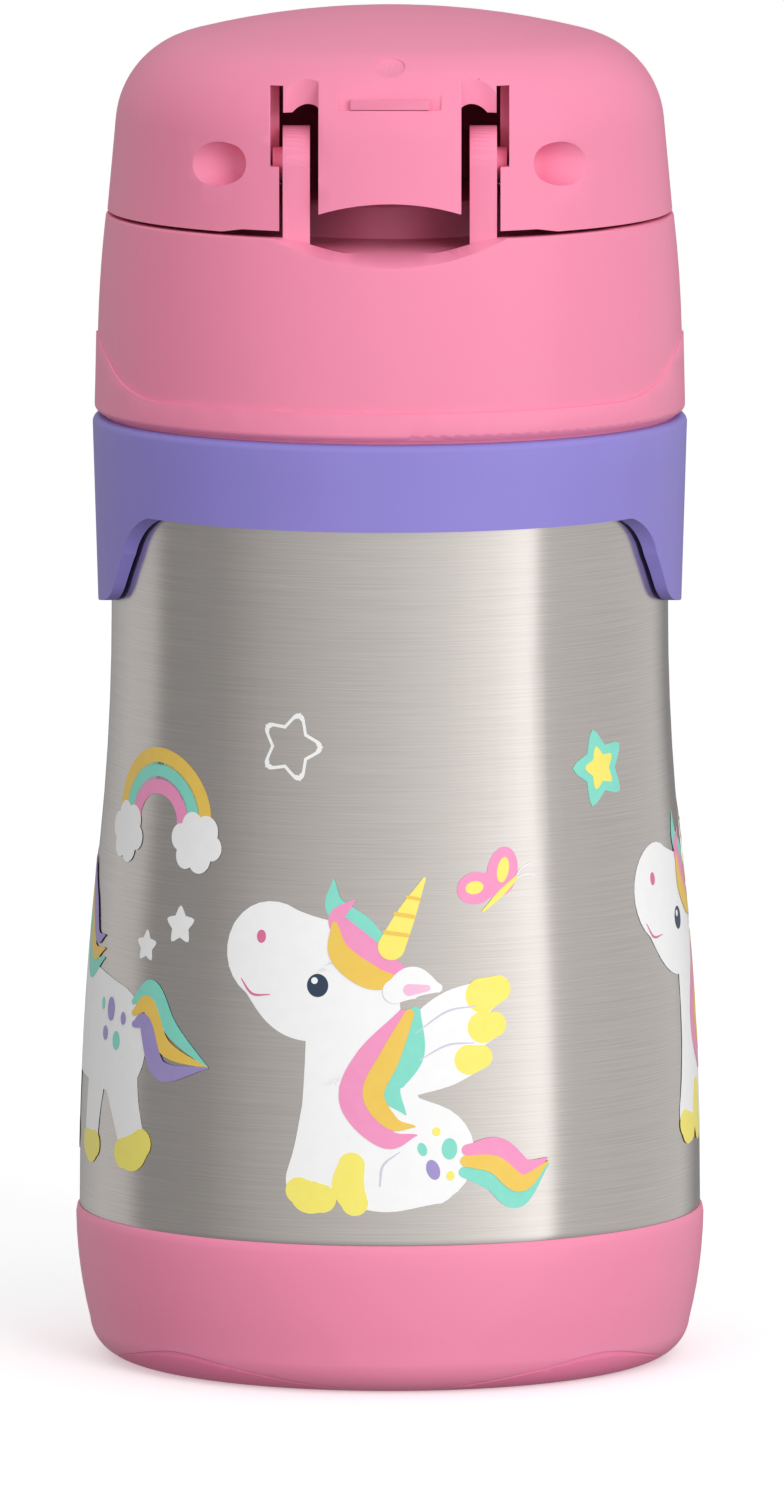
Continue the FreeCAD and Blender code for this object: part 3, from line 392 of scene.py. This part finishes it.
def print_ink(name, ink, patches, layer, shift=(0, 0), mirror=False):
    """One screen-printed ink: flat patches wrapped on the wall, faced outwards and given a film."""
    corners, faces, count = [], [], 0
    for order, patch in enumerate(patches):
        patch = patch * np.array([-1 if mirror else 1, 1]) + np.array(shift, dtype=float)
        placed = wrap(patch, layer + PATCH_SPREAD * order / len(patches))
        rows, columns = patch.shape[:2]
        index = np.arange(rows * columns).reshape(rows, columns) + count
        quads = np.stack([index[:-1, :-1], index[:-1, 1:], index[1:, 1:], index[1:, :-1]],
                         axis=-1).reshape(-1, 4)
        corners.append(placed.reshape(-1, 3))
        faces.append(quads)
        count += rows * columns
    corners = np.vstack(corners)
    faces = np.vstack(faces)
    a, b, c, d = (corners[faces[:, i]] for i in range(4))
    normal = np.cross(c - a, d - b)
    inward = (normal[:, :2] * (a + b + c + d)[:, :2]).sum(axis=1) < 0
    faces[inward] = faces[inward][:, ::-1]
    mesh = bpy.data.meshes.new(name)
    mesh.from_pydata(corners.tolist(), [], faces.tolist())
    work = bmesh.new()
    work.from_mesh(mesh)
    bmesh.ops.remove_doubles(work, verts=work.verts, dist=WELD)
    bmesh.ops.dissolve_degenerate(work, edges=work.edges, dist=WELD)
    for edge in work.edges:
        edge.smooth = not edge.is_boundary
    work.to_mesh(mesh)
    work.free()
    mesh.polygons.foreach_set("use_smooth", np.ones(len(mesh.polygons), dtype=bool))
    mesh.materials.append(INKS[ink])
    piece = bpy.data.objects.new(name, mesh)
    bpy.context.collection.objects.link(piece)
    film = piece.modifiers.new("film", "SOLIDIFY")
    film.thickness = FILM
    film.offset = -1
    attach(piece, "bottle")


# screen-printed enamel inks: opaque, satin, one flat colour each with a faint mottle
INKS = {name: printing_ink("enamel_ink_" + name, low, high) for name, low, high in (
    ("white", "F7F7F7", "FFFFFF"), ("yellow", "FDEB66", "FFF57E"), ("gold", "F2C650", "F8D465"),
    ("teal", "7FDCC8", "90E6D4"), ("pink", "F693C2", "FBA0CB"), ("rose", "DC6A99", "E679A5"),
    ("purple", "9F8FCB", "AB9CD4"), ("navy", "26384E", "30445C"), ("blush", "F8BFDF", "FBCBE5"),
    ("line", "D5CCDF", "DDD5E6"))}


def pony_inks():
    """A pony of plain rounded strokes, sitting with its chin up: (ink, layer, patches)."""
    body = [ribbon([(-15.2, 11.8), (-10.0, 8.6), (-4.6, 7.0)], [12.5, 15.6, 12.0]),
            ribbon([(-4.6, 6.0), (-4.2, -1.0), (-3.4, -9.0)], [11.5, 12.5, 15.0]),
            ribbon([(-4.0, -9.5), (0.5, -12.0), (3.8, -13.2)], [13.0, 13.2, 13.0]),
            ribbon([(-7.4, -8.0), (-8.6, -13.0), (-9.4, -16.6)], [6.8, 6.2, 6.6]),
            ribbon([(4.2, -15.2), (0.0, -17.2), (-3.2, -17.0)], [9.4, 6.6, 6.2])]
    ear = [ribbon([(0.6, 7.2), (3.0, 8.3), (5.9, 7.6)], [3.0, 4.0, 1.2])]
    wing = [ribbon([(2.6, -0.6), (7.6, 4.0), (12.6, 6.8)], [6.4, 6.2, 3.6]),
            ribbon([(3.0, -1.8), (8.2, 1.2), (12.4, 2.6)], [5.6, 5.6, 3.4]),
            ribbon([(3.0, -3.4), (7.0, -2.2), (10.6, -1.4)], [4.8, 5.0, 3.2])]
    tips = [ribbon([(11.6, 6.5), (13.6, 7.2)], [4.4, 3.4]),
            ribbon([(11.6, 2.5), (13.0, 2.8)], [4.0, 3.2]),
            ribbon([(9.8, -1.5), (11.2, -1.2)], [3.8, 3.0])]
    hooves = [ribbon([(-8.2, -18.9), (-9.8, -18.7), (-11.0, -18.0)], [3.6, 4.2, 3.4]),
              ribbon([(-4.6, -14.6), (-5.0, -17.2), (-4.2, -19.4)], [3.2, 3.9, 3.2])]
    horn = [ribbon([(0.2, 12.8), (2.2, 17.0), (4.4, 21.2)], [3.4, 2.3, 0.4])]
    bands = [ribbon([(-0.6, 14.6), (2.2, 14.2)], [0.5, 0.5], 12, 4),
             ribbon([(0.7, 16.9), (3.0, 16.5)], [0.5, 0.5], 12, 4),
             ribbon([(2.2, 19.0), (3.7, 18.7)], [0.4, 0.4], 12, 4)]
    mane = {"teal": [ribbon([(-7.2, 21.0), (-6.9, 17.6), (-3.4, 15.0), (-0.4, 12.6)],
                            [0.2, 2.6, 3.0, 1.4]),
                     ribbon([(3.1, 4.6), (2.6, -0.6), (-0.2, -4.6), (1.9, -8.2)],
                            [1.4, 3.2, 3.4, 0.2])],
            "pink": [ribbon([(-4.4, 18.6), (-6.6, 16.0), (-3.0, 12.4), (2.0, 9.4)],
                            [0.2, 2.4, 3.2, 1.2]),
                     ribbon([(1.6, 4.4), (-2.6, -1.4), (-4.2, -6.6), (-0.4, -11.2), (3.2, -10.8)],
                            [1.2, 3.4, 3.8, 2.6, 0.2])],
            "gold": [ribbon([(-7.0, 15.4), (-6.2, 11.8), (-2.4, 9.0), (1.8, 8.4)],
                            [0.8, 2.8, 3.0, 0.8]),
                     ribbon([(2.4, 4.4), (0.0, -1.0), (-2.0, -5.6), (0.2, -9.2), (3.0, -9.7)],
                            [1.2, 2.5, 2.6, 1.8, 0.2])]}
    tail = {"pink": ribbon([(9.4, -12.8), (13.2, -12.8), (16.6, -15.4), (19.8, -14.4)],
                           [1.4, 2.8, 2.4, 0.2]),
            "gold": ribbon([(9.2, -14.2), (12.8, -14.8), (16.2, -17.3), (19.9, -14.8)],
                           [1.4, 2.2, 2.2, 0.2]),
            "teal": ribbon([(9.0, -15.6), (12.4, -16.9), (15.8, -19.2), (19.9, -15.2)],
                           [1.4, 2.2, 2.4, 0.2])}
    dots = {"teal": [spot((7.2, -12.6), (0.95, 1.35)), spot((3.9, -12.6), (0.55, 0.85), 0.3)],
            "purple": [spot((5.2, -15.2), (0.8, 1.3), 0.3)],
            "yellow": [spot((5.6, -10.4), (0.5, 0.55)), spot((7.3, -16.0), (0.5, 0.6))]}
    lines = [hairline([(-1.2, -17.2), (-0.8, -14.6), (1.2, -12.9)], [0.22, 0.3, 0.1]),
             hairline([(3.2, 2.0), (7.0, 4.6), (10.8, 5.2)], [0.1, 0.26, 0.1]),
             hairline([(3.6, -1.4), (7.0, 0.4), (10.4, 0.6)], [0.1, 0.26, 0.1])]
    sheets = [("white", 1, body + wing), ("yellow", 2, tips + hooves + dots["yellow"]),
              ("teal", 2, mane["teal"] + [tail["teal"]] + dots["teal"]),
              ("pink", 3, mane["pink"] + [tail["pink"]]),
              ("gold", 4, mane["gold"] + [tail["gold"]]),
              ("yellow_horn", 5, horn), ("gold_bands", 6, bands),
              ("purple", 2, dots["purple"]), ("white_ear", 5, ear),
              ("blush", 6, [ribbon([(2.4, 7.4), (4.6, 7.6)], [1.5, 0.8], 16, 5)]),
              ("line", 2, lines),
              ("rose", 2, [spot((-16.6, 13.6), (0.62, 0.82)),
                           hairline([(-19.2, 8.2), (-17.6, 6.4), (-15.2, 6.4)],
                                  [0.1, 0.3, 0.1])]),
              ("navy", 2, [spot((-9.0, 7.8), (1.35, 1.45))]),
              ("white_glint", 3, [spot((-9.4, 8.4), (0.42, 0.42), turns=24)])]
    return sheets


def walking_inks():
    """The same kind of pony standing, seen from the side: (ink, layer, patches)."""
    body = [ribbon([(-15.0, 1.0), (-6.0, 0.6), (1.6, -0.4)], [14.5, 14.5, 14.0]),
            ribbon([(2.6, -3.6), (4.4, -8.6), (6.2, -13.0)], [9.0, 6.6, 5.6]),
            ribbon([(-4.0, -5.0), (-5.0, -9.6), (-5.6, -13.6)], [6.4, 5.6, 5.2]),
            ribbon([(-17.0, -4.0), (-17.6, -9.4), (-18.2, -13.6)], [7.4, 5.8, 5.2]),
            ribbon([(-16.5, 3.0), (-18.6, 10.0), (-19.6, 15.0)], [12.0, 10.4, 9.6]),
            ribbon([(-19.0, 16.0), (-24.0, 14.4), (-28.6, 12.6)], [11.0, 11.4, 8.6])]
    hooves = [ribbon([(4.2, -14.6), (6.6, -14.2), (8.4, -12.8)], [3.8, 4.6, 3.6]),
              ribbon([(-7.4, -14.6), (-5.4, -14.9), (-3.8, -14.4)], [3.4, 4.2, 3.4]),
              ribbon([(-20.0, -14.6), (-18.0, -14.9), (-16.4, -14.4)], [3.4, 4.2, 3.4])]
    tail = {"teal": ribbon([(5.6, 4.8), (9.4, 6.6), (13.2, 2.2), (19.4, -2.2)],
                           [0.8, 2.6, 2.2, 0.2]),
            "gold": ribbon([(5.8, 3.4), (8.8, 4.6), (12.2, -0.2), (19.4, -2.2)],
                           [0.8, 2.4, 2.2, 0.2]),
            "purple": ribbon([(6.0, 2.0), (8.4, 2.2), (11.6, -3.2), (19.4, -2.2)],
                             [0.8, 2.4, 2.6, 0.2])}
    mane = {"teal": ribbon([(-15.0, 18.4), (-12.0, 13.0), (-9.6, 7.6), (-3.4, 9.2)],
                           [1.2, 3.4, 3.2, 0.2]),
            "gold": ribbon([(-14.6, 19.4), (-10.8, 14.2), (-8.2, 9.6), (-3.4, 10.4)],
                           [1.2, 2.6, 2.2, 0.2]),
            "purple": ribbon([(-14.2, 20.4), (-9.8, 15.6), (-7.0, 11.6), (-3.8, 12.0)],
                             [1.2, 2.4, 1.8, 0.2])}
    horn = [ribbon([(-20.6, 20.6), (-20.8, 24.8), (-20.4, 29.0)], [3.2, 2.2, 0.4])]
    return [("white", 1, body), ("yellow", 2, hooves + horn),
            ("teal", 2, [tail["teal"], mane["teal"], spot((1.8, -0.6), (0.95, 1.2)),
                         spot((-2.6, 3.6), (0.5, 0.8))]),
            ("gold", 3, [tail["gold"], mane["gold"]]),
            ("purple", 4, [tail["purple"], mane["purple"], spot((0.0, 3.2), (0.95, 1.5)),
                           spot((-1.4, 0.0), (0.65, 0.9)), spot((3.4, 2.4), (0.55, 0.8))]),
            ("rose", 2, [spot((-30.6, 14.0), (0.6, 0.8)),
                         hairline([(-31.4, 10.2), (-29.8, 9.2), (-27.8, 9.8)], [0.1, 0.3, 0.1])]),
            ("navy", 2, [spot((-23.4, 14.8), (1.3, 1.4))]),
            ("white_glint", 3, [spot((-23.8, 15.4), (0.4, 0.4), turns=24)])]


def print_pony(name, shift, mirror=False, inks=pony_inks):
    """All inks of one pony."""
    for ink, layer, patches in inks():
        print_ink(f"{name}_{ink}", ink.split("_")[0], patches, layer, shift, mirror)


def arch(centre, radius, width, steps=60):
    """Half-ring band of a rainbow."""
    turn = np.linspace(math.radians(-4), math.radians(184), 9)
    points = np.stack([centre[0] + radius * np.cos(turn), centre[1] + 0.9 * radius * np.sin(turn)],
                      axis=1)
    return ribbon(points, [width] * 3, steps)


def print_rainbow(name, at):
    """Three bands that end in two small clouds."""
    for ink, radius in (("gold", 9.2), ("teal", 7.2), ("pink", 5.2)):
        print_ink(f"{name}_{ink}", ink, [arch(at, radius, 2.15)], 1)
    clouds = []
    for side in (-1, 1):
        x, y = at[0] + side * 7.6, at[1] - 1.6
        for dx, dy, size in ((-2.6, 0.2, 1.7), (-0.6, 1.6, 1.9), (1.8, 1.2, 2.0), (2.9, -0.8, 1.6),
                             (0.9, -2.2, 1.9), (-1.5, -2.0, 1.7), (0.2, -0.2, 2.3)):
            clouds.append(spot((x + dx, y + dy), (size, size), turns=40))
    print_ink(f"{name}_clouds", "white", clouds, 3)


def print_butterfly(name, at, tilt):
    """Two pairs of round wings on a thin body."""
    def turned(x, y):
        c, s = math.cos(tilt), math.sin(tilt)
        return (at[0] + c * x - s * y, at[1] + s * x + c * y)
    wings = [spot(turned(-0.2, 2.9), (2.1, 3.1), tilt + 0.1),
             spot(turned(-3.0, -0.2), (2.5, 2.0), tilt + 0.5),
             spot(turned(-1.2, 0.8), (1.8, 1.6), tilt)]
    spots = [spot(turned(-0.2, 3.1), (0.8, 1.6), tilt + 0.1),
             spot(turned(-3.2, -0.2), (1.2, 0.8), tilt + 0.5)]
    stem = [ribbon([turned(-1.2, -2.6), turned(0.4, 0.2), turned(1.8, 2.6)], [0.3, 0.8, 0.5],
                   20, 5)]
    feelers = [hairline([turned(1.8, 2.6), turned(2.2, 4.0), turned(3.4, 5.2)], [0.14, 0.14, 0.1]),
               hairline([turned(1.8, 2.6), turned(3.0, 3.5), turned(4.4, 3.8)], [0.14, 0.14, 0.1])]
    print_ink(name + "_wings", "pink", wings, 1)
    print_ink(name + "_spots", "yellow", spots + stem, 2)
    print_ink(name + "_feelers", "white", feelers, 1)


def print_artwork():
    """Artwork round the whole wall: four ponies with stars, rainbows and butterflies between."""
    lap = 2 * math.pi * PRINT_RADIUS / MM
    print_pony("pony_middle", (0.0, 0.0))
    print_pony("pony_left", (-43.0, -1.2), inks=walking_inks)
    print_pony("pony_right", (58.0, 5.0))
    print_pony("pony_front", (0.5 * lap - 3.0, 2.0), mirror=True)
    upright = math.pi / 2
    print_ink("outline_star", "white", [star((-13.4, 37.4), 5.4, upright - 0.3, 0.84, 0.16)], 1)
    for name, at, size, tilt in (("left_big", (-29.2, 14.0), 2.9, 0.05),
                                 ("left_small", (-35.4, 10.8), 2.4, 0.0),
                                 ("front_big", (0.5 * lap + 15.0, 30.0), 3.0, 0.2),
                                 ("front_small", (0.5 * lap - 16.0, 36.0), 2.3, -0.2)):
        print_ink("star_" + name, "white", [star(at, size, upright + tilt)], 1)
    for name, at in (("right", (31.2, 33.6)), ("front", (0.5 * lap - 30.0, 28.0))):
        print_ink(f"star_{name}_teal", "teal", [star(at, 5.8, upright + 0.25)], 1)
        print_ink(f"star_{name}_yellow", "yellow", [star(at, 3.3, upright + 0.25)], 2)
    print_rainbow("rainbow_left", (-35.2, 26.4))
    print_rainbow("rainbow_front", (0.5 * lap + 34.0, 30.0))
    print_butterfly("butterfly_right", (14.0, 19.0), -0.35)
    print_butterfly("butterfly_front", (0.5 * lap - 26.0, 10.0), 0.2)


print_artwork()


# ---------------------------------------------------------------- stage

def make_floor():
    """Wide pale floor with a faint paper tooth."""
    half = 9.0
    mesh = bpy.data.meshes.new("floor")
    corners = np.array([(-half, -half, 0), (half, -half, 0), (half, half, 0), (-half, half, 0)])
    mesh.from_pydata(corners.tolist(), [], [(0, 1, 2, 3)])
    floor = bpy.data.objects.new("floor", mesh)
    bpy.context.collection.objects.link(floor)
    material, tree, place = new_material("white_studio_paper")
    tooth = add(tree, "ShaderNodeTexNoise", Vector=place, Scale=1 / (4 * MM), Detail=3.0)
    shader = add(tree, "ShaderNodeBsdfPrincipled", Roughness=0.7,
                 Base_Color=blend_colours(tree, tooth.outputs["Fac"], "F4F4F4", "F8F8F8"))
    shader.inputs["Emission Color"].default_value = (1, 1, 1, 1)
    shader.inputs["Emission Strength"].default_value = 0.36
    finish_material(tree, shader)
    mesh.materials.append(material)
    floor.visible_diffuse = False
    floor.visible_glossy = False


def make_light(name, at, aim, width, height, watts):
    """Rectangular soft box at a place, turned to an aim."""
    light = bpy.data.lights.new(name, "AREA")
    light.shape = "RECTANGLE"
    light.size = width
    light.size_y = height
    light.energy = watts
    lamp = bpy.data.objects.new(name, light)
    lamp.location = at
    lamp.rotation_euler = (Vector(aim) - Vector(at)).to_track_quat("-Z", "Y").to_euler()
    lamp.visible_glossy = False
    bpy.context.collection.objects.link(lamp)


# Brightness of the room by compass angle from the camera's side, positive to its right:
# soft boxes in front and at the far left, black flags at the left and behind.
ROOM = [(-180, 0.30), (-160, 0.42), (-135, 0.62), (-116, 0.62), (-106, 0.32), (-74, 0.36),
        (-50, 0.54), (-20, 0.70), (0, 0.80), (25, 0.98), (45, 1.22), (62, 1.60), (65, 0.70),
        (100, 0.66), (140, 0.70), (158, 0.28), (180, 0.28)]


def make_room():
    """World whose brightness follows ROOM round the horizon, fading to an even top."""
    world = bpy.data.worlds.new("studio_room")
    bpy.context.scene.world = world
    world.use_nodes = True
    tree = world.node_tree
    tree.nodes.clear()
    way = add(tree, "ShaderNodeTexCoord").outputs["Generated"]
    axes = add(tree, "ShaderNodeSeparateXYZ", Vector=way)
    ahead = add(tree, "ShaderNodeMath", {"operation": "MULTIPLY"}, i0=axes.outputs["Y"], i1=-1.0)
    turn = add(tree, "ShaderNodeMath", {"operation": "ARCTAN2"}, i0=axes.outputs["X"],
               i1=ahead.outputs[0])
    along = add(tree, "ShaderNodeMapRange", None, i0=turn.outputs[0], i1=-math.pi, i2=math.pi)
    ramp = add(tree, "ShaderNodeValToRGB", Fac=along.outputs["Result"])
    stops = ramp.color_ramp.elements
    while len(stops) > 1:
        stops.remove(stops[-1])
    for angle, bright in ROOM:
        place = (angle + 180) / 360
        stop = stops[0] if angle == ROOM[0][0] else stops.new(place)
        stop.position = place
        stop.color = (bright, bright, bright, 1)
    height = add(tree, "ShaderNodeMapRange", None, i0=axes.outputs["Z"], i1=0.35, i2=0.8)
    sky = add(tree, "ShaderNodeMix", {"data_type": "RGBA"}, Factor=height.outputs["Result"])
    tree.links.new(ramp.outputs["Color"], sky.inputs[6])
    sky.inputs[7].default_value = (0.78, 0.78, 0.78, 1)
    depth = add(tree, "ShaderNodeMapRange", None, i0=axes.outputs["Z"], i1=-0.25, i2=-0.7)
    ground = add(tree, "ShaderNodeMix", {"data_type": "RGBA"}, Factor=depth.outputs["Result"])
    tree.links.new(sky.outputs[2], ground.inputs[6])
    ground.inputs[7].default_value = (0.22, 0.21, 0.21, 1)
    glow = add(tree, "ShaderNodeBackground", Color=ground.outputs[2], Strength=0.95)
    add(tree, "ShaderNodeOutputWorld", Surface=glow.outputs[0])


def make_camera():
    """Long lens on the hinge side, a little above the bottle."""
    elevation = math.radians(7.17)
    distance = 2.9116
    sideways = 0.00027
    target = Vector((sideways, 0, 0.0768))
    lens = bpy.data.cameras.new("camera")
    lens.sensor_fit = "VERTICAL"
    lens.sensor_height = 36
    lens.lens = 552.8
    lens.clip_end = 50
    camera = bpy.data.objects.new("camera", lens)
    camera.location = target + distance * Vector((0, -math.cos(elevation), math.sin(elevation)))
    camera.rotation_euler = (target - camera.location).to_track_quat("-Z", "Y").to_euler()
    bpy.context.collection.objects.link(camera)
    bpy.context.scene.camera = camera


make_floor()
make_room()
MIDDLE = (0, 0, 0.09)           # about the middle of the bottle, which both lamps aim at
make_light("key_box", (0.75, -1.5, 0.75), MIDDLE, 0.7, 1.1, 11)
make_light("fill_box", (-0.7, -1.6, 0.5), MIDDLE, 0.5, 0.9, 2.5)
make_camera()
bpy.context.scene.view_settings.view_transform = "Standard"
